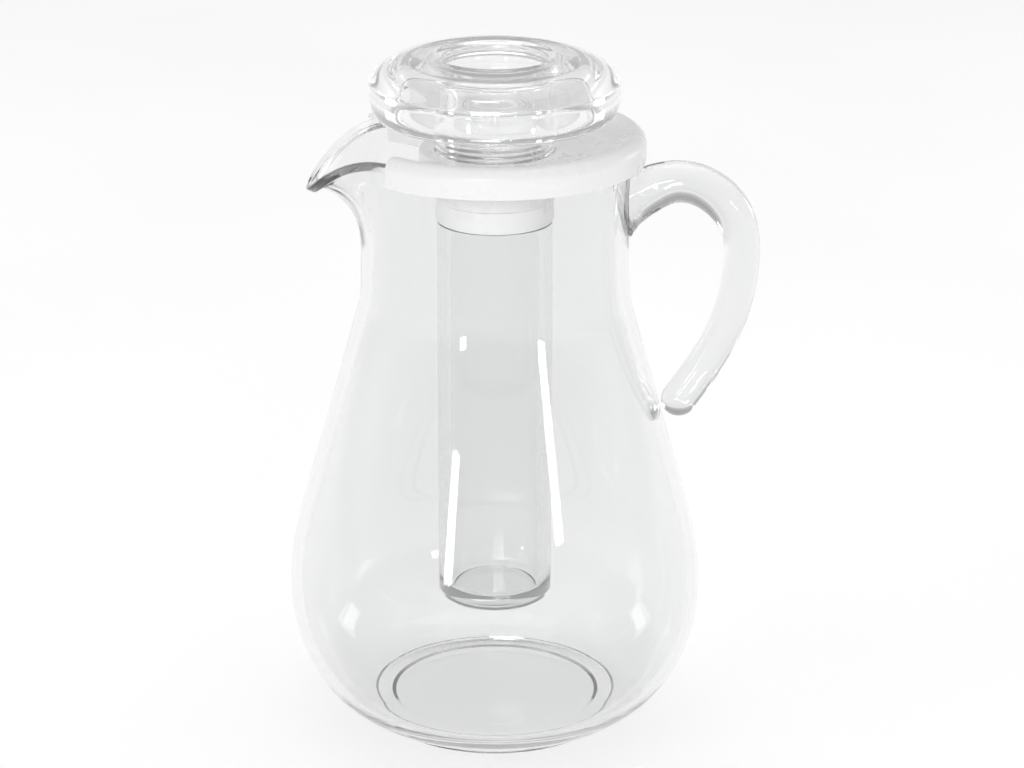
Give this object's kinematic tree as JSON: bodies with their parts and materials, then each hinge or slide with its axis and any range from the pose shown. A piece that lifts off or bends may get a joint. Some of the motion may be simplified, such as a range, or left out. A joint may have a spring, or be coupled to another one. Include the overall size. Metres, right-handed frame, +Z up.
{
  "type": "ice core pitcher",
  "caption": "Clear pear-shaped pitcher with a drooping pouring lip, bar handle, white lift-off lid ring, clear dome stopper and a clear ice tube hanging inside on the lid's axis.",
  "frame": {"origin": "centre of the jug's flat foot, on the jug's axis, on the surface it stands on", "axes": "+Z up along the jug's axis, +X towards the handle, -X towards the pouring lip"},
  "size_m": [0.1859, 0.1648, 0.2718],
  "materials": {
    "clear_plastic": "clear, polished, moulded",
    "white_plastic": "white, satin gloss, moulded",
    "seal": "pale translucent silicone"
  },
  "bodies": {
    "jug": {"jug_body": "clear_plastic", "handle": "clear_plastic"},
    "lid": {"lid_ring": "white_plastic"},
    "core": {"core_collar": "white_plastic", "core_tube": "clear_plastic", "core_gasket": "seal"},
    "stopper": {"stopper": "clear_plastic"}
  },
  "joints": [
    {"name": "lid_lift", "type": "slide", "parent": "jug", "child": "lid", "axis": [0, 0, 1], "range_m": [0, 0.2]},
    {"name": "core_release", "type": "slide", "parent": "lid", "child": "core", "axis": [0, 0, -1], "range_m": [0, 0.035]},
    {"name": "stopper_lift", "type": "slide", "parent": "lid", "child": "stopper", "axis": [0, 0, 1], "range_m": [0, 0.06]}
  ]
}
